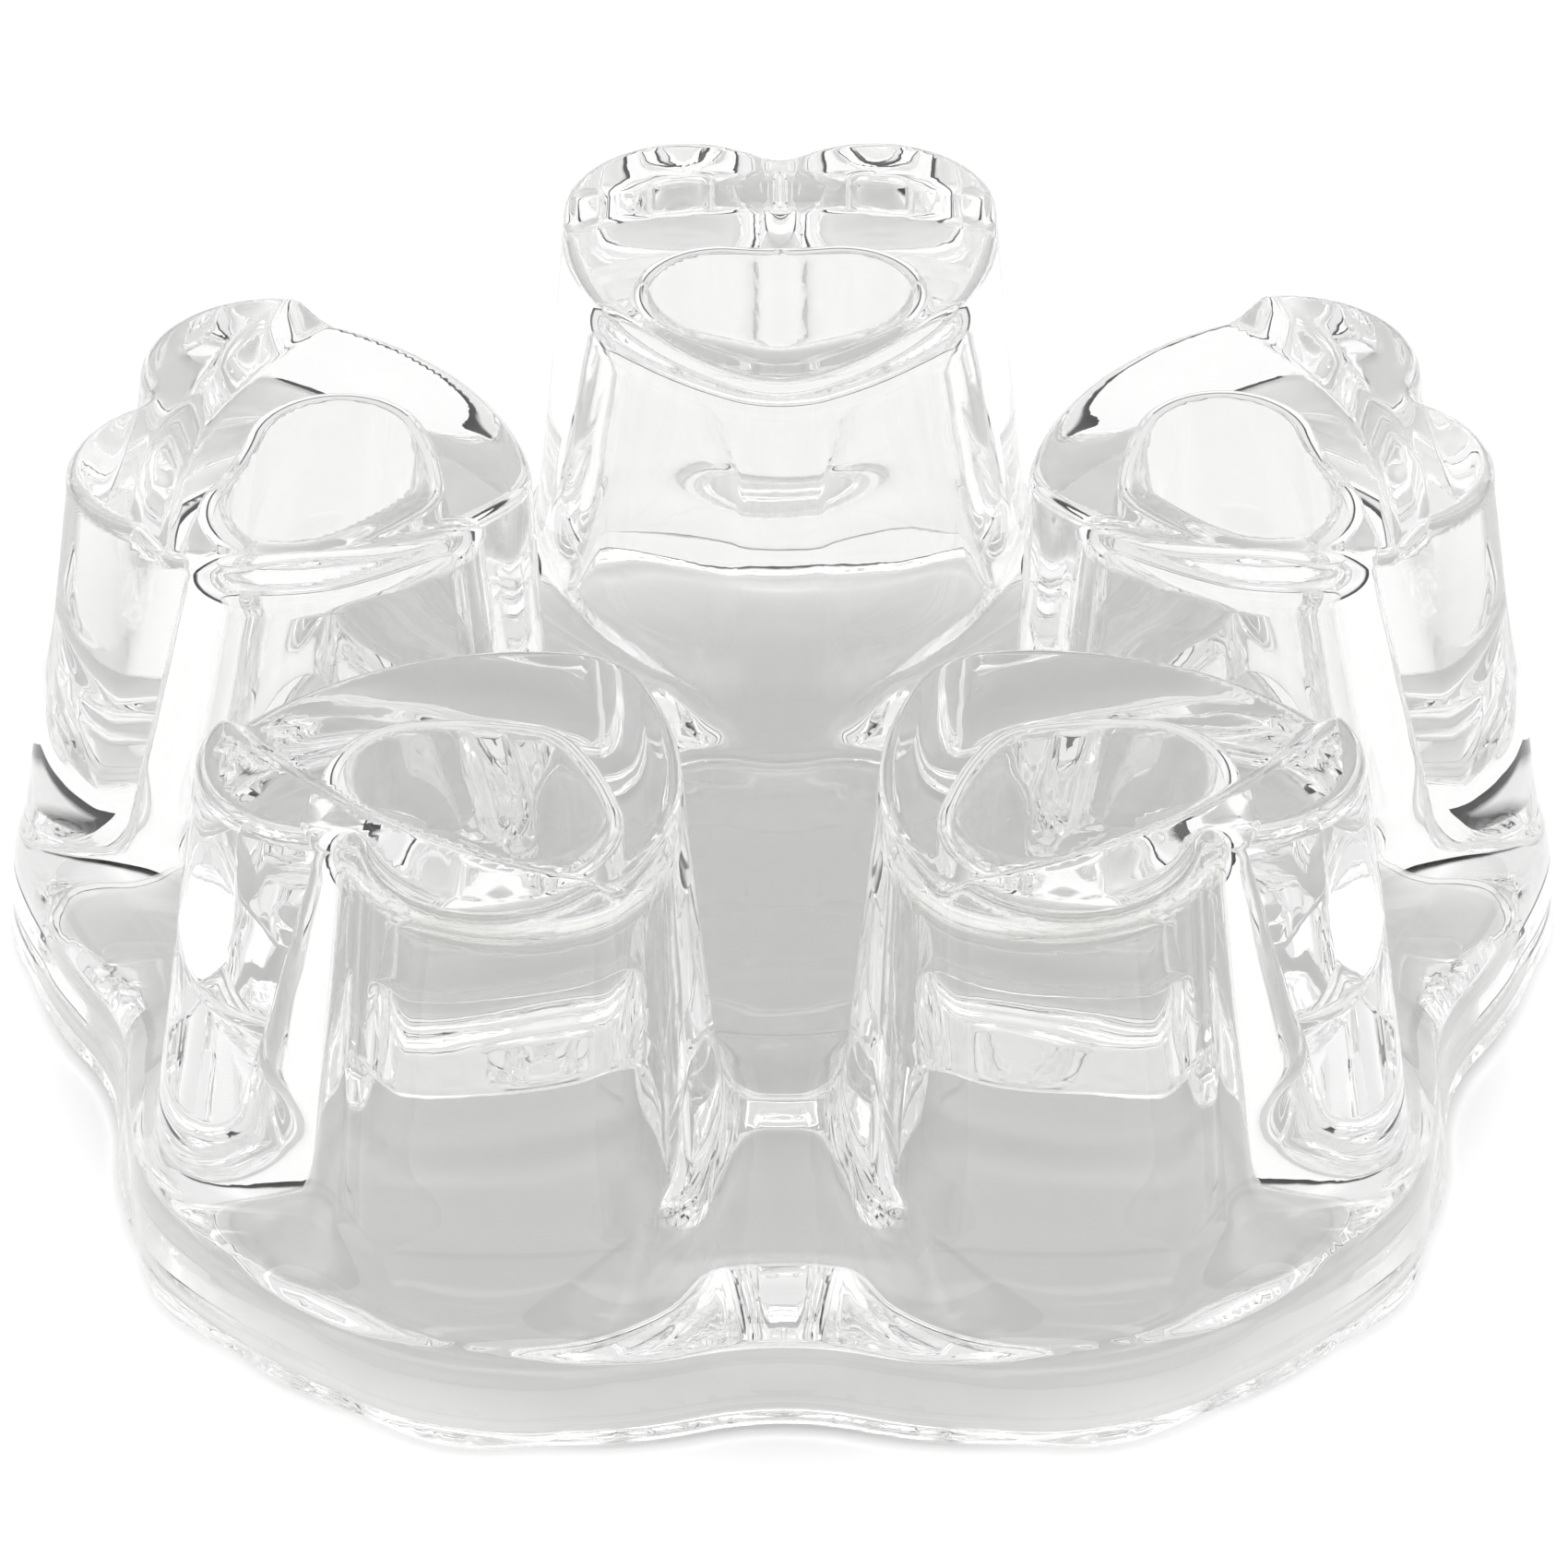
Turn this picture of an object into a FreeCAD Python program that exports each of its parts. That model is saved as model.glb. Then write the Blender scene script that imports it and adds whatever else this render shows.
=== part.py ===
import FreeCAD, Part
import math
import os
from FreeCAD import Vector

# Pressed-glass teapot warmer: one clear moulding, divided here into its working regions.
# Units are millimetres. The origin is on the five-fold axis, in the plane the foot stands on.

# The five pillars
PILLARS = ["back", "left_back", "left_front", "right_front", "right_back"]
PILLAR_FIRST_ANGLE = 90.0
PILLAR_STEP_ANGLE = 72.0

# Heights above the table
LIP_TOP_Z = 46.5
SEAT_Z = 44.35
CAVITY_TOP_Z = 39.3
PLATE_TOP_Z = 13.0
PLATE_UNDER_Z = 5.2
WELL_FLOOR_Z = 7.0

# Pot seat: a round recess 97.4 mm across that steps down across all five pillar tops
SEAT_RADIUS = 48.7
RISER_SLOPE = 1.0
TOP_EDGE_RADIUS = 1.3

# Outside of a pillar: a heart of tangent arcs, given at OUTER_REF_Z, and its growth per mm downwards
OUTER_REF_Z = 44.0
OUTER_HEART = {"lobe_u": 46.8, "lobe_v": 8.0, "lobe_r": 10.45, "tip_u": 28.4, "tip_r": 7.0,
               "side_r": 28.6, "notch_r": 2.5}
OUTER_GROWTH = {"lobe_u": 0.109, "lobe_v": 0.037, "lobe_r": 0.048, "tip_u": -0.012, "tip_r": 0.030,
                "side_r": -0.03, "notch_r": 0.02}

# Hollow of a pillar, pressed from below
INNER_REF_Z = 39.0
INNER_HEART = {"lobe_u": 39.6, "lobe_v": 5.0, "lobe_r": 7.4, "tip_u": 34.5, "tip_r": 5.6,
               "side_r": 30.0, "notch_r": 25.0}
INNER_GROWTH = {"lobe_u": 0.115, "lobe_v": 0.05, "lobe_r": 0.06, "tip_u": -0.02, "tip_r": 0.03,
                "side_r": 0.06, "notch_r": 0.0}
INNER_TOP_RADIUS = 2.0

# Five-lobed foot
FOOT_LOBE_U = 28.1
FOOT_LOBE_R = 36.9
FOOT_VALLEY_R = 20.77
FOOT_DRAFT = 0.16
SHOULDER_RADIUS = 4.5
FOOT_EDGE_RADIUS = 1.2
SKIRT_WALL = 4.2
SKIRT_DRAFT = 0.10

# Candle well: the pillar points stand inside it on a circle 40 mm across, which centres a tealight cup
WELL_RADIUS = 22.0
WELL_WALL = 4.5

OVERCUT = 2.0
BIG = 200.0


def polar(radius, degrees, z=0.0):
    angle = math.radians(degrees)
    return Vector(radius * math.cos(angle), radius * math.sin(angle), z)


def arc_between(centre, radius, start_degrees, end_degrees):
    """Arc of a circle in a horizontal plane, from one bearing to another."""
    middle = (start_degrees + end_degrees) / 2
    points = [centre + polar(radius, bearing) for bearing in (start_degrees, middle, end_degrees)]
    return Part.Arc(*points).toShape()


def bearing(start, end):
    return math.degrees(math.atan2(end.y - start.y, end.x - start.x))


def side_centre(lobe, lobe_r, tip, tip_r, side_r):
    """Centre of the long side arc, which touches the lobe and the tip circles from outside."""
    to_lobe = side_r - lobe_r
    to_tip = side_r - tip_r
    gap = lobe.sub(tip)
    along = (to_tip ** 2 - to_lobe ** 2 + gap.Length ** 2) / (2 * gap.Length)
    across = math.sqrt(to_tip ** 2 - along ** 2)
    unit = Vector(gap).normalize()
    return tip + unit * along + Vector(unit.y, -unit.x, 0) * across


def heart_wire(heart, growth, drop, z):
    """Heart outline, point towards the axis, drop mm below its reference height."""
    size = {name: heart[name] + growth[name] * drop for name in heart}
    lobe = Vector(size["lobe_u"], size["lobe_v"], z)
    tip = Vector(size["tip_u"], 0, z)
    reach = math.sqrt((size["lobe_r"] + size["notch_r"]) ** 2 - size["lobe_v"] ** 2)
    notch = Vector(size["lobe_u"] + reach, 0, z)
    side = side_centre(lobe, size["lobe_r"], tip, size["tip_r"], size["side_r"])
    to_notch = bearing(lobe, notch)
    to_lobe = bearing(side, lobe)
    to_tip = bearing(side, tip)
    back = to_notch + 180
    half = [
        arc_between(notch, size["notch_r"], 180, back),
        arc_between(lobe, size["lobe_r"], to_notch, to_lobe),
        arc_between(side, size["side_r"], to_lobe, to_tip),
        arc_between(tip, size["tip_r"], to_tip, 180),
    ]
    other = [edge.mirror(Vector(0, 0, 0), Vector(0, 1, 0)) for edge in half]
    return Part.Wire(Part.sortEdges(half + other)[0])


def heart_prism(heart, growth, ref_z, low, high):
    """Tapered heart between two heights."""
    wires = [heart_wire(heart, growth, ref_z - z, z) for z in (low, high)]
    return Part.makeLoft(wires, True, True)


def foot_wire(inset, z):
    """Five-lobed outline, inset mm inside the foot's outer edge."""
    lobe_r = FOOT_LOBE_R - inset
    valley_r = FOOT_VALLEY_R + inset
    half_step = PILLAR_STEP_ANGLE / 2
    offset = FOOT_LOBE_U * math.sin(math.radians(half_step))
    reach = FOOT_LOBE_U * math.cos(math.radians(half_step))
    reach += math.sqrt((lobe_r + valley_r) ** 2 - offset ** 2)
    edges = []
    for index in range(len(PILLARS)):
        angle = PILLAR_FIRST_ANGLE + index * PILLAR_STEP_ANGLE
        lobe = polar(FOOT_LOBE_U, angle, z)
        before = polar(reach, angle - half_step, z)
        after = polar(reach, angle + half_step, z)
        turn = (bearing(lobe, after) - angle + 180) % 360 - 180
        edges.append(arc_between(lobe, lobe_r, angle - turn, angle + turn))
        inward = angle + half_step + 180
        spread = (bearing(after, lobe) - inward + 180) % 360 - 180
        edges.append(arc_between(after, valley_r, inward - spread, inward + spread))
    return Part.Wire(Part.sortEdges(edges)[0])


def rim_edges(solid, z):
    """Edges that lie wholly at one height."""
    found = []
    for edge in solid.Edges:
        box = edge.BoundBox
        if abs(box.ZMin - z) < 1e-4 and abs(box.ZMax - z) < 1e-4:
            found.append(edge)
    return found


def revolved(profile):
    """Solid of revolution about the vertical axis from (radius, height) corners."""
    points = [Vector(radius, 0, height) for radius, height in profile]
    face = Part.Face(Part.makePolygon(points + points[:1]))
    return face.revolve(Vector(0, 0, 0), Vector(0, 0, 1), 360)


def slab(low, high):
    """Block wider than the part, between two heights."""
    return Part.makeBox(BIG, BIG, high - low, Vector(-BIG / 2, -BIG / 2, low))


def outer_pillar():
    """Solid pillar with the stepped pot seat at its top, rounded at every top edge."""
    prism = heart_prism(OUTER_HEART, OUTER_GROWTH, OUTER_REF_Z, 0, LIP_TOP_Z)
    prism = prism.makeFillet(FOOT_EDGE_RADIUS, rim_edges(prism, 0))
    low = prism.common(slab(-OVERCUT, SEAT_Z))
    low = low.makeFillet(TOP_EDGE_RADIUS, rim_edges(low, SEAT_Z))
    tall = prism.makeFillet(TOP_EDGE_RADIUS, rim_edges(prism, LIP_TOP_Z))
    rise = LIP_TOP_Z - SEAT_Z + OVERCUT
    below = SEAT_Z - 2 * TOP_EDGE_RADIUS
    bore = revolved([
        (0, below),
        (SEAT_RADIUS, below),
        (SEAT_RADIUS, SEAT_Z),
        (SEAT_RADIUS + rise / RISER_SLOPE, SEAT_Z + rise),
        (0, SEAT_Z + rise),
    ])
    return low.fuse(tall.cut(bore)).removeSplitter()


def outer_foot():
    """Solid five-lobed foot with a rounded shoulder."""
    foot = Part.makeLoft([foot_wire(0, 0), foot_wire(FOOT_DRAFT * PLATE_TOP_Z, PLATE_TOP_Z)], True, True)
    foot = foot.makeFillet(SHOULDER_RADIUS, rim_edges(foot, PLATE_TOP_Z))
    return foot.makeFillet(FOOT_EDGE_RADIUS, rim_edges(foot, 0))


def candle_recess():
    """Round space of the candle well, open above."""
    depth = PLATE_TOP_Z - WELL_FLOOR_Z + OVERCUT
    return Part.makeCylinder(WELL_RADIUS, depth, Vector(0, 0, WELL_FLOOR_Z))


def pillar_hollow():
    """Space inside one pillar, open below."""
    space = heart_prism(INNER_HEART, INNER_GROWTH, INNER_REF_Z, -OVERCUT, CAVITY_TOP_Z)
    return space.makeFillet(INNER_TOP_RADIUS, rim_edges(space, CAVITY_TOP_Z))


def foot_hollow():
    """Ring-shaped space under the plate, between the skirt and the well."""
    wires = [foot_wire(SKIRT_WALL + SKIRT_DRAFT * z, z) for z in (-OVERCUT, PLATE_UNDER_Z)]
    space = Part.makeLoft(wires, True, True)
    inner = WELL_RADIUS + WELL_WALL
    return space.cut(Part.makeCylinder(inner, BIG, Vector(0, 0, -BIG / 2)))


def moulding():
    """The whole glass piece as one solid."""
    pillar = outer_pillar()
    hollow = pillar_hollow()
    body = outer_foot().cut(candle_recess())
    for index in range(len(PILLARS)):
        angle = PILLAR_FIRST_ANGLE + index * PILLAR_STEP_ANGLE
        turned = pillar.copy()
        turned.rotate(Vector(0, 0, 0), Vector(0, 0, 1), angle)
        body = body.fuse(turned)
    body = body.cut(foot_hollow())
    for index in range(len(PILLARS)):
        angle = PILLAR_FIRST_ANGLE + index * PILLAR_STEP_ANGLE
        turned = hollow.copy()
        turned.rotate(Vector(0, 0, 0), Vector(0, 0, 1), angle)
        body = body.cut(turned)
    return body


def nearest(solids, angle):
    """The solid whose centre of mass lies on a bearing."""
    towards = polar(1, angle)
    return max(solids, key=lambda solid: solid.CenterOfMass.dot(towards))


def save(name, shape):
    shape.exportStep(os.path.join("parts", name + ".step"))
    print(name, shape.ShapeType, len(shape.Solids), shape.isValid(), round(shape.Volume), shape.BoundBox)


def main():
    os.makedirs("parts", exist_ok=True)
    glass = moulding()
    print("moulding", glass.ShapeType, len(glass.Solids), glass.isValid(), round(glass.Volume))
    well_zone = Part.makeCylinder(WELL_RADIUS + WELL_WALL, PLATE_TOP_Z + OVERCUT, Vector(0, 0, -OVERCUT))
    low = glass.common(slab(-OVERCUT, PLATE_TOP_Z))
    save("scalloped_foot", low.cut(well_zone).Solids[0])
    save("candle_well", low.common(well_zone).Solids[0])
    walls = glass.common(slab(PLATE_TOP_Z, CAVITY_TOP_Z)).Solids
    tops = glass.common(slab(CAVITY_TOP_Z, LIP_TOP_Z + OVERCUT)).Solids
    for index, place in enumerate(PILLARS):
        angle = PILLAR_FIRST_ANGLE + index * PILLAR_STEP_ANGLE
        save("heart_pillar_" + place, nearest(walls, angle))
        save("pot_rest_" + place, nearest(tops, angle))


main()
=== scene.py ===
import math

import bpy
import numpy as np
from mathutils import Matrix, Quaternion, Vector

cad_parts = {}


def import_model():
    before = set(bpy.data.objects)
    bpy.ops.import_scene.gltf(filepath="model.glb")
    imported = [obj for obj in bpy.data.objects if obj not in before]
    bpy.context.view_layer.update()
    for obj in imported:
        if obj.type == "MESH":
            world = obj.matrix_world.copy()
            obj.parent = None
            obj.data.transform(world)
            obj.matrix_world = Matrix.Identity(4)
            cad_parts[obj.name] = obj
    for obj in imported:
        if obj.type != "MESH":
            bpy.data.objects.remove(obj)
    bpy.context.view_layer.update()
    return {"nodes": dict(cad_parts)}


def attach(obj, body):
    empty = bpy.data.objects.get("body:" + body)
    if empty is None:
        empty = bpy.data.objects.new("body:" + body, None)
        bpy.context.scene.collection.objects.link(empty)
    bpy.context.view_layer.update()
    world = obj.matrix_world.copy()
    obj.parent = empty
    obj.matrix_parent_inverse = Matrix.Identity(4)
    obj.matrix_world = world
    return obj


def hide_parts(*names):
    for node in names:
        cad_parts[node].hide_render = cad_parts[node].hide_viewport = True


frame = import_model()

# Pressed-glass teapot warmer. Lengths are in millimetres where no comment says metres; MM converts them.
# The glass is one moulding, so it is one skin, defined by a signed distance and then meshed.
MM = 0.001

# Five pillars, one every 72 degrees, the first at the back
STEP = math.radians(72.0)

# Heights
LIP_TOP = 46.5
SEAT = 44.35
HOLLOW_TOP = 39.3
PLATE_TOP = 13.0
PLATE_UNDER = 5.2
WELL_FLOOR = 7.0

# Outside of a pillar: heart of tangent arcs as (size at OUTER_REF, growth per mm downwards)
OUTER_REF = 44.0
OUTER = {"lobe_u": (46.8, 0.109), "lobe_v": (8.0, 0.037), "lobe_r": (10.45, 0.048),
         "tip_u": (28.4, -0.012), "tip_r": (7.0, 0.030), "notch_r": (2.5, 0.02)}
HALF_GAP = (7.5, 0.095)
SEAT_RADIUS = 48.7
TOP_EDGE = 1.3
RISER_EDGE = 0.5
RISER_FOOT = 0.3

# Hollow of a pillar, pressed from below
INNER_REF = 39.0
INNER = {"lobe_u": (39.6, 0.115), "lobe_v": (5.0, 0.05), "lobe_r": (7.4, 0.06),
         "tip_u": (34.5, -0.02), "tip_r": (5.6, 0.03), "notch_r": (25.0, 0.0), "side_r": (30.0, 0.06)}
HOLLOW_EDGE = 2.0
HOLLOW_RIM = 0.6

# Five-lobed foot and the ring-shaped space under its plate
LOBE_U = 28.1
LOBE_R = 36.9
VALLEY_R = 20.77
FOOT_DRAFT = 0.16
SHOULDER = 4.5
FOOT_EDGE = 1.2
SKIRT = 4.2
SKIRT_DRAFT = 0.10
RING_INNER = 26.5
RING_EDGE = 1.5

# Candle well
WELL_R = 22.0
WELL_DRAFT = 0.06
WELL_LIP = 3.2
WELL_CORNER = 1.2

# Blend radii as (near the well, outside, start radius, width of the change)
PILLAR_BLEND = (1.2, 3.2, 24.0, 6.0)
HOLLOW_BLEND = (3.0, 8.0, 36.0, 14.0)

# The pillar blend shrinks towards the table, so that it stays inside the foot's draft
BLEND_AT_TABLE = 0.2
BLEND_GROWTH = 0.45

# Press ripples on the hollow walls: their height, then two waves with rates in radians per mm.
# The rising wave is bent by (size, rate, shift) along x and (size, rate) along y; the slanted has x, y, z.
RIPPLE = 0.012
RISING_WAVE_Z = 0.9
RISING_WAVE_BEND_X = (1.1, 0.16, 0.4)
RISING_WAVE_BEND_Y = (0.9, 0.14)
SLANTED_WAVE = (0.21, 0.19, 0.5)
SLANTED_SHARE = 0.8

# Mesh: cell size, the block that is searched, then how points are moved onto the surface
CELL = 0.62
BLOCK_LOW = (-66.0, -66.0, -1.2)
BLOCK_HIGH = (66.0, 66.0, 48.0)
SLOPE_STEP = 0.02
ROUNDS = 4
LARGEST_MOVE = 0.4
LEAST_SLOPE = 0.05
TINY = 1e-9

# Side arcs are worked out every half millimetre of height, with limits for the search of their radius
TABLE_HEIGHTS = np.linspace(-3.0, 50.0, 107)
LARGEST_SIDE_R = 400.0
LEAST_SIDE_EXTRA = 6.0
HALVINGS = 60

# Studio light: tone against the sine of the height, and against how far to the side, as (position, tone)
SKY_TONES = [(0.0, 0.01), (0.14, 0.03), (0.24, 0.84), (0.84, 0.86), (0.93, 2.2)]
SIDE_TONES = [(0.0, 0.95), (0.55, 1.0), (0.75, 1.2), (0.95, 1.0)]
SKY_STRENGTH = 1.05

# Camera in metres and degrees; the shifts are shares of the frame's width
TARGET = Vector((0.0, 0.0, 0.025))
DISTANCE = 0.5742
ELEVATION = 35.636
YAW = 0.097
ROLL = -0.224
SENSOR = 36.0
LENS = 162.96
SHIFT_X = 0.0018
SHIFT_Y = -0.0354

# Light paths
GLASS_BOUNCES = 48
REFLECTIONS = 32
FLOOR_BOUNCES = 8

# Clear glass
GLASS_COLOUR = (0.95, 0.952, 0.945, 1.0)
GLASS_IOR = 1.52
HAZE_STARTS = 0.62
HAZE_FULL = 0.85
HAZE_ROUGHNESS = 0.06

# Floor in metres: tone against the distance from the middle, with painted shade that makes the floor's
# colour darker where the glass stands on it
FLOOR_HALF = 2.0
FLOOR_Z = -0.0002
FLOOR_ROUGHNESS = 0.7
FLOOR_PAINTED_SHADE_TONES = [(0.0, 0.52), (0.030, 0.55), (0.052, 0.61), (0.063, 0.92)]


def at_height(table, drop):
    """Sizes of a heart, drop mm below its reference height."""
    return {name: size + growth * drop for name, (size, growth) in table.items()}


def side_centre(heart, side_r):
    """Centre of the long side arc, which touches the lobe and tip circles from outside."""
    du = heart["lobe_u"] - heart["tip_u"]
    dv = heart["lobe_v"]
    gap = math.hypot(du, dv)
    to_lobe = side_r - heart["lobe_r"]
    to_tip = side_r - heart["tip_r"]
    along = (to_tip ** 2 - to_lobe ** 2 + gap ** 2) / (2 * gap)
    across = math.sqrt(to_tip ** 2 - along ** 2)
    u = heart["tip_u"] + (along * du + across * dv) / gap
    v = (along * dv - across * du) / gap
    return u, v


def side_radius(heart, half_gap):
    """Side arc radius that leaves the wanted gap to the next pillar, found by bisection."""
    turn = math.radians(90.0) + STEP / 2
    low = max(heart["lobe_r"], heart["tip_r"]) + LEAST_SIDE_EXTRA
    high = LARGEST_SIDE_R
    for _ in range(HALVINGS):
        middle = (low + high) / 2
        u, v = side_centre(heart, middle)
        if -(u * math.cos(turn) + v * math.sin(turn) + middle) < half_gap:
            low = middle
        else:
            high = middle
    return (low + high) / 2


def side_table():
    """Side arcs of the outer and inner hearts against height."""
    rows = []
    for z in TABLE_HEIGHTS:
        outer = at_height(OUTER, OUTER_REF - z)
        outer_r = side_radius(outer, HALF_GAP[0] - HALF_GAP[1] * (OUTER_REF - z))
        inner = at_height(INNER, INNER_REF - z)
        rows.append((outer_r, *side_centre(outer, outer_r),
                     inner["side_r"], *side_centre(inner, inner["side_r"])))
    return np.array(rows).T


SIDES = side_table()
OUTER_ROW = 0
INNER_ROW = 3


def outside_corner(a, b, radius):
    """Intersection of two shapes with a rounded edge."""
    rounded = np.hypot(np.maximum(radius + a, 0), np.maximum(radius + b, 0))
    return np.minimum(-radius, np.maximum(a, b)) + rounded


def inside_corner(a, b, radius):
    """Union of two shapes with a filled corner."""
    rounded = np.hypot(np.maximum(radius - a, 0), np.maximum(radius - b, 0))
    return np.maximum(radius, np.minimum(a, b)) - rounded


def eased(r, blend):
    """Blend radius that changes smoothly with the distance from the axis."""
    near, far, start, width = blend
    t = np.clip((r - start) / width, 0, 1)
    return near + (far - near) * t * t * (3 - 2 * t)


def cross(au, av, bu, bv):
    return au * bv - av * bu


def heart(u, v, table, drop, z, row):
    """Distance to a heart outline in its own plane, v being positive on both halves."""
    size = at_height(table, drop)
    side_r, side_u, side_v = (np.interp(z, TABLE_HEIGHTS, SIDES[row + k]) for k in range(3))
    lobe_u, lobe_v, lobe_r, notch_r = size["lobe_u"], size["lobe_v"], size["lobe_r"], size["notch_r"]
    notch_u = lobe_u + np.sqrt((lobe_r + notch_r) ** 2 - lobe_v ** 2)
    side = np.hypot(u - side_u, v - side_v) - side_r
    tip = np.hypot(u - size["tip_u"], v) - size["tip_r"]
    lobe = np.hypot(u - lobe_u, v - lobe_v) - lobe_r
    notch = notch_r - np.hypot(u - notch_u, v)
    in_tip = cross(size["tip_u"] - side_u, -side_v, u - size["tip_u"], v) >= 0
    past_side = cross(u - side_u, v - side_v, lobe_u - side_u, lobe_v - side_v) >= 0
    in_notch = (cross(notch_u - lobe_u, -lobe_v, u - lobe_u, v - lobe_v) < 0) & (u < notch_u) & past_side
    distance = np.where(in_tip, tip, side)
    distance = np.where(past_side & ~in_tip, lobe, distance)
    return np.where(in_notch, notch, distance)


def five_lobes(u, v, r, inset):
    """Distance to the foot's outline, inset mm inside its edge."""
    lobe_r = LOBE_R - inset
    valley_r = VALLEY_R + inset
    half = STEP / 2
    reach = LOBE_U * math.cos(half) + np.sqrt((lobe_r + valley_r) ** 2 - (LOBE_U * math.sin(half)) ** 2)
    nu, nv = reach * math.cos(half), reach * math.sin(half)
    in_valley = (cross(nu - LOBE_U, nv, u - LOBE_U, v) > 0) & (r < reach)
    return np.where(in_valley, valley_r - np.hypot(u - nu, v - nv), np.hypot(u - LOBE_U, v) - lobe_r)


def ripple(x, y, z):
    """Slow waves that the cooling press leaves on the hollow walls."""
    size_x, rate_x, shift_x = RISING_WAVE_BEND_X
    size_y, rate_y = RISING_WAVE_BEND_Y
    rising = np.sin(RISING_WAVE_Z * z + size_x * np.sin(rate_x * x + shift_x) + size_y * np.sin(rate_y * y))
    slant_x, slant_y, slant_z = SLANTED_WAVE
    slanted = np.sin(slant_z * z + slant_x * x - slant_y * y)
    return RIPPLE * (rising + SLANTED_SHARE * slanted)


def glass(x, y, z):
    """Signed distance to the moulding, negative inside the glass."""
    r = np.hypot(x, y)
    turn = np.arctan2(y, x) - math.pi / 2
    turn = np.abs(np.mod(turn + STEP / 2, STEP) - STEP / 2)
    u = r * np.cos(turn)
    v = r * np.sin(turn)

    riser = (r - (SEAT_RADIUS + (z - SEAT))) / math.sqrt(2)
    recess = outside_corner(SEAT - z, riser, RISER_FOOT)
    top = outside_corner(z - LIP_TOP, -recess, RISER_EDGE)
    pillar = outside_corner(heart(u, v, OUTER, OUTER_REF - z, z, OUTER_ROW), top, TOP_EDGE)

    foot = outside_corner(five_lobes(u, v, r, FOOT_DRAFT * z), z - PLATE_TOP, SHOULDER)
    well = outside_corner(r - WELL_R - WELL_DRAFT * (z - WELL_FLOOR), WELL_FLOOR - z, WELL_CORNER)
    foot = outside_corner(foot, -well, WELL_LIP)
    blend = np.minimum(eased(r, PILLAR_BLEND), BLEND_AT_TABLE + BLEND_GROWTH * np.maximum(z, 0.0))
    body = inside_corner(pillar, foot, blend)

    hollow = heart(u, v, INNER, INNER_REF - z, z, INNER_ROW)
    hollow = outside_corner(hollow, z - HOLLOW_TOP, HOLLOW_EDGE)
    hollow = hollow + ripple(x, y, z)
    skirt = five_lobes(u, v, r, SKIRT + SKIRT_DRAFT * z)
    ring = outside_corner(skirt, RING_INNER + SKIRT_DRAFT * z - r, RING_EDGE)
    ring = outside_corner(ring, z - PLATE_UNDER, RING_EDGE)
    space = inside_corner(ring, hollow, eased(r, HOLLOW_BLEND))
    body = outside_corner(body, -space, HOLLOW_RIM)
    return outside_corner(body, -z, FOOT_EDGE)


def gradient(points):
    """Slope and value of the distance at each point."""
    slope = np.zeros_like(points)
    for axis in range(3):
        shift = np.zeros(3)
        shift[axis] = SLOPE_STEP
        slope[:, axis] = (glass(*(points + shift).T) - glass(*(points - shift).T)) / (2 * SLOPE_STEP)
    return slope, glass(*points.T)


def skin(cell, low, high):
    """Quads on the zero surface: one point per cell that it crosses, then moved exactly onto it."""
    count = [int(math.ceil((high[k] - low[k]) / cell)) + 1 for k in range(3)]
    ticks = [low[k] + cell * np.arange(count[k]) for k in range(3)]
    field = np.empty(count, np.float32)
    x, y = np.meshgrid(ticks[0], ticks[1], indexing="ij")
    for k, z in enumerate(ticks[2]):
        field[:, :, k] = glass(x, y, np.full_like(x, z))
    inside = field < 0
    filled = np.zeros([n - 1 for n in count], np.uint8)
    for i in (0, 1):
        for j in (0, 1):
            for k in (0, 1):
                filled += inside[i:count[0] - 1 + i, j:count[1] - 1 + j, k:count[2] - 1 + k]
    crossed = (filled > 0) & (filled < 8)
    cells = np.argwhere(crossed)
    index = -np.ones(crossed.shape, np.int64)
    index[crossed] = np.arange(len(cells))

    total = np.zeros((len(cells), 3))
    hits = np.zeros(len(cells))
    for axis in range(3):
        others = [k for k in range(3) if k != axis]
        for i in (0, 1):
            for j in (0, 1):
                start = cells.copy()
                start[:, others[0]] += i
                start[:, others[1]] += j
                end = start.copy()
                end[:, axis] += 1
                f0 = field[tuple(start.T)].astype(float)
                f1 = field[tuple(end.T)].astype(float)
                cut = (f0 < 0) != (f1 < 0)
                point = start.astype(float)
                point[:, axis] += np.where(cut, f0 / np.where(cut, f0 - f1, 1), 0)
                total[cut] += point[cut]
                hits[cut] += 1
    points = total / hits[:, None] * cell + np.array(low)

    quads = []
    for axis in range(3):
        others = [k for k in range(3) if k != axis]
        near = [slice(None)] * 3
        far = [slice(None)] * 3
        near[axis] = slice(0, -1)
        far[axis] = slice(1, None)
        edges = np.argwhere(inside[tuple(near)] != inside[tuple(far)])
        corners = []
        for i, j in ((1, 1), (0, 1), (0, 0), (1, 0)):
            corner = edges.copy()
            corner[:, others[0]] -= i
            corner[:, others[1]] -= j
            corners.append(index[tuple(corner.T)])
        quad = np.stack(corners, 1)
        keep = inside[tuple(near)][tuple(edges.T)]
        if axis == 1:
            keep = ~keep
        quad[~keep] = quad[~keep][:, ::-1]
        quads.append(quad)

    for _ in range(ROUNDS):
        slope, value = gradient(points)
        move = (value / np.maximum((slope ** 2).sum(1), LEAST_SLOPE))[:, None] * slope
        length = np.linalg.norm(move, axis=1)
        points = points - move * np.minimum(1, LARGEST_MOVE * cell / np.maximum(length, TINY))[:, None]
    slope, _ = gradient(points)
    normals = slope / np.maximum(np.linalg.norm(slope, axis=1), TINY)[:, None]
    return points, np.concatenate(quads), normals


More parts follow.
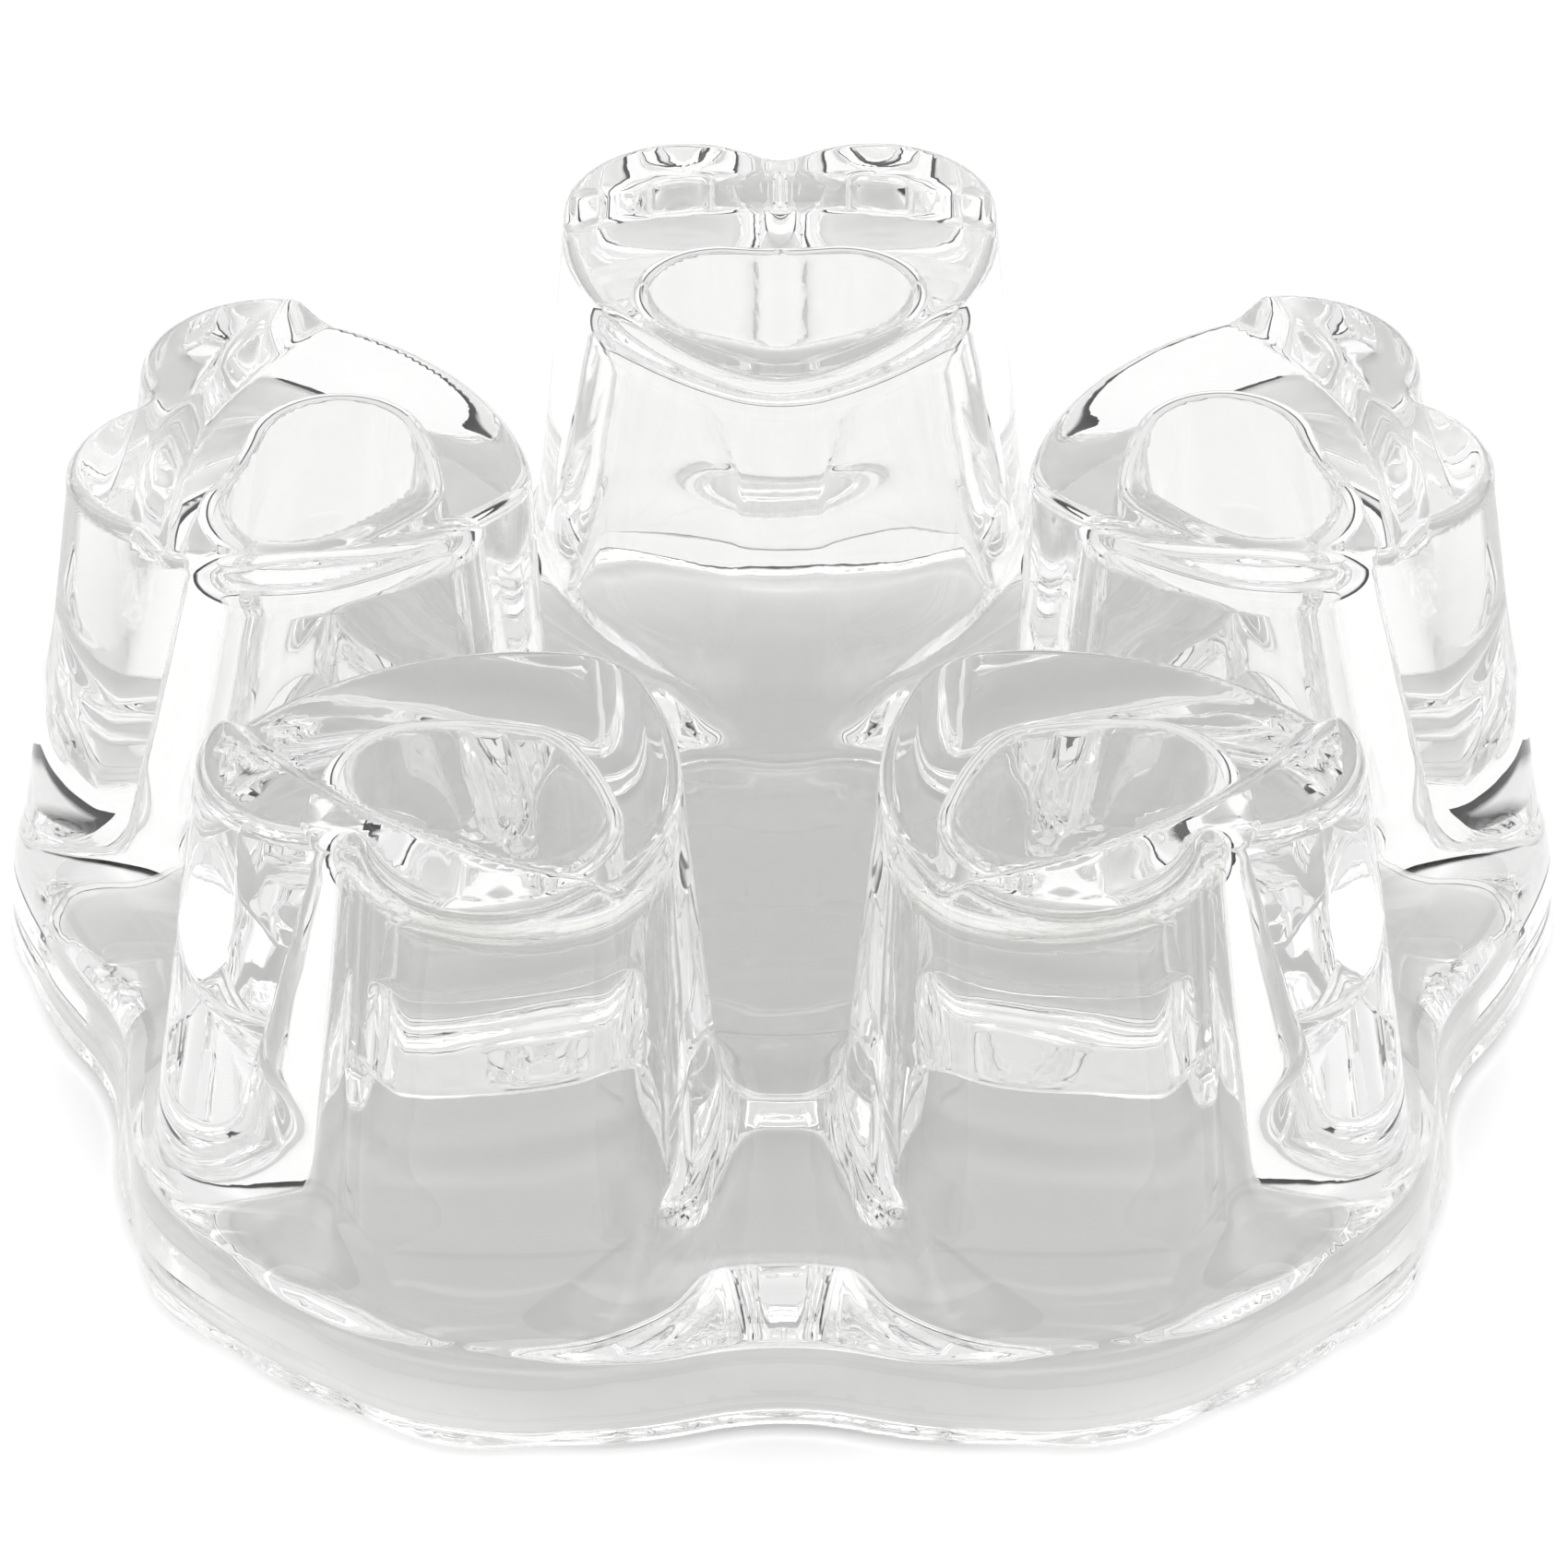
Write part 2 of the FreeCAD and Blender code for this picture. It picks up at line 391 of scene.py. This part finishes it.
def noise(nodes, links, place, scale, detail):
    """Noise over the object's own space; scale is waves per metre."""
    texture = nodes.new("ShaderNodeTexNoise")
    texture.inputs["Scale"].default_value = scale
    texture.inputs["Detail"].default_value = detail
    links.new(place.outputs["Object"], texture.inputs["Vector"])
    return texture


def bump(nodes, links, texture, strength, distance):
    """Bump whose height is a noise; distance is in metres."""
    node = nodes.new("ShaderNodeBump")
    node.inputs["Strength"].default_value = strength
    node.inputs["Distance"].default_value = distance
    links.new(texture.outputs["Fac"], node.inputs["Height"])
    return node


def glass_material():
    material = bpy.data.materials.new("clear_pressed_glass")
    material.use_nodes = True
    nodes = material.node_tree.nodes
    links = material.node_tree.links
    shader = nodes["Principled BSDF"]
    shader.inputs["Base Color"].default_value = GLASS_COLOUR
    shader.inputs["Transmission Weight"].default_value = 1.0
    shader.inputs["IOR"].default_value = GLASS_IOR
    place = nodes.new("ShaderNodeTexCoord")

    # Fire-polished skin: long soft waves and a fine orange peel
    waves = noise(nodes, links, place, scale=120.0, detail=1.0)
    wave_bump = bump(nodes, links, waves, strength=0.3, distance=0.00012)
    peel = noise(nodes, links, place, scale=420.0, detail=2.0)
    peel_bump = bump(nodes, links, peel, strength=0.12, distance=0.00003)
    links.new(wave_bump.outputs["Normal"], peel_bump.inputs["Normal"])
    links.new(peel_bump.outputs["Normal"], shader.inputs["Normal"])

    # Faint haze where the mould has worn
    haze = noise(nodes, links, place, scale=45.0, detail=3.0)
    dulled = nodes.new("ShaderNodeMapRange")
    dulled.inputs["From Min"].default_value = HAZE_STARTS
    dulled.inputs["From Max"].default_value = HAZE_FULL
    dulled.inputs["To Min"].default_value = 0.0
    dulled.inputs["To Max"].default_value = HAZE_ROUGHNESS
    links.new(haze.outputs["Fac"], dulled.inputs["Value"])
    links.new(dulled.outputs["Result"], shader.inputs["Roughness"])
    return material


def moulding():
    """The one glass piece, which stands for every CAD node."""
    points, quads, normals = skin(CELL, BLOCK_LOW, BLOCK_HIGH)
    mesh = bpy.data.meshes.new("glass_moulding")
    mesh.from_pydata((points * MM).tolist(), [], quads.tolist())
    mesh.update()
    mesh.polygons.foreach_set("use_smooth", [True] * len(mesh.polygons))
    mesh.normals_split_custom_set_from_vertices(normals.tolist())
    mesh.materials.append(glass_material())
    piece = bpy.data.objects.new("glass_moulding", mesh)
    bpy.context.scene.collection.objects.link(piece)
    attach(piece, "root")
    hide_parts(*frame["nodes"])


def tone_ramp(nodes, tones):
    """Grey ramp through (position, tone) pairs."""
    ramp = nodes.new("ShaderNodeValToRGB")
    points = ramp.color_ramp.elements
    while len(points) < len(tones):
        points.new(0.5)
    for point, (position, tone) in zip(points, tones):
        point.position = position
        point.color = (tone, tone, tone, 1.0)
    return ramp


def floor():
    """Pale floor just under the glass, its colour darkened with painted shade where the glass stands on it.
    """
    mesh = bpy.data.meshes.new("floor")
    corners = [(-1, -1), (1, -1), (1, 1), (-1, 1)]
    points = [(FLOOR_HALF * x, FLOOR_HALF * y, FLOOR_Z) for x, y in corners]
    mesh.from_pydata(points, [], [(0, 1, 2, 3)])
    material = bpy.data.materials.new("pale_floor_painted_shade")
    material.use_nodes = True
    nodes = material.node_tree.nodes
    links = material.node_tree.links
    shader = nodes["Principled BSDF"]
    shader.inputs["Roughness"].default_value = FLOOR_ROUGHNESS
    place = nodes.new("ShaderNodeTexCoord")
    reach = nodes.new("ShaderNodeVectorMath")
    reach.operation = "LENGTH"
    # Painted shade: this ramp darkens the floor's colour near the middle, under the glass
    tone = tone_ramp(nodes, FLOOR_PAINTED_SHADE_TONES)
    links.new(place.outputs["Object"], reach.inputs[0])
    links.new(reach.outputs["Value"], tone.inputs["Fac"])
    links.new(tone.outputs["Color"], shader.inputs["Base Color"])
    mesh.materials.append(material)
    plane = bpy.data.objects.new("floor", mesh)
    bpy.context.scene.collection.objects.link(plane)


def world():
    """Soft white studio: dark at the horizon, bright overhead and a little brighter to each side."""
    studio = bpy.data.worlds.new("studio")
    studio.use_nodes = True
    nodes = studio.node_tree.nodes
    links = studio.node_tree.links
    place = nodes.new("ShaderNodeTexCoord")
    split = nodes.new("ShaderNodeSeparateXYZ")
    links.new(place.outputs["Generated"], split.inputs["Vector"])

    height = tone_ramp(nodes, SKY_TONES)
    links.new(split.outputs["Z"], height.inputs["Fac"])
    aside = nodes.new("ShaderNodeMath")
    aside.operation = "ABSOLUTE"
    links.new(split.outputs["X"], aside.inputs[0])
    sides = tone_ramp(nodes, SIDE_TONES)
    links.new(aside.outputs["Value"], sides.inputs["Fac"])
    both = nodes.new("ShaderNodeMixRGB")
    both.blend_type = "MULTIPLY"
    both.inputs["Fac"].default_value = 1.0
    links.new(height.outputs["Color"], both.inputs["Color1"])
    links.new(sides.outputs["Color"], both.inputs["Color2"])
    background = nodes["Background"]
    links.new(both.outputs["Color"], background.inputs["Color"])
    background.inputs["Strength"].default_value = SKY_STRENGTH
    bpy.context.scene.world = studio


def camera():
    """Long lens 36 degrees above the horizon, in front of the gap between the two front pillars."""
    elevation = math.radians(ELEVATION)
    yaw = math.radians(YAW)
    level = math.cos(elevation)
    back = Vector((level * math.sin(yaw), -level * math.cos(yaw), math.sin(elevation)))
    data = bpy.data.cameras.new("camera")
    data.sensor_width = SENSOR
    data.lens = LENS
    data.shift_x = SHIFT_X
    data.shift_y = SHIFT_Y
    eye = bpy.data.objects.new("camera", data)
    bpy.context.scene.collection.objects.link(eye)
    eye.location = TARGET + back * DISTANCE
    eye.rotation_mode = "QUATERNION"
    eye.rotation_quaternion = (-back).to_track_quat("-Z", "Y") @ Quaternion((0, 0, 1), math.radians(ROLL))
    bpy.context.scene.camera = eye


def light_paths():
    """Thick glass needs many internal reflections before its light is right."""
    scene = bpy.context.scene
    scene.view_settings.view_transform = "Standard"
    scene.cycles.max_bounces = GLASS_BOUNCES
    scene.cycles.glossy_bounces = REFLECTIONS
    scene.cycles.transmission_bounces = GLASS_BOUNCES
    scene.cycles.diffuse_bounces = FLOOR_BOUNCES
    scene.cycles.blur_glossy = 0.0


moulding()
floor()
world()
camera()
light_paths()
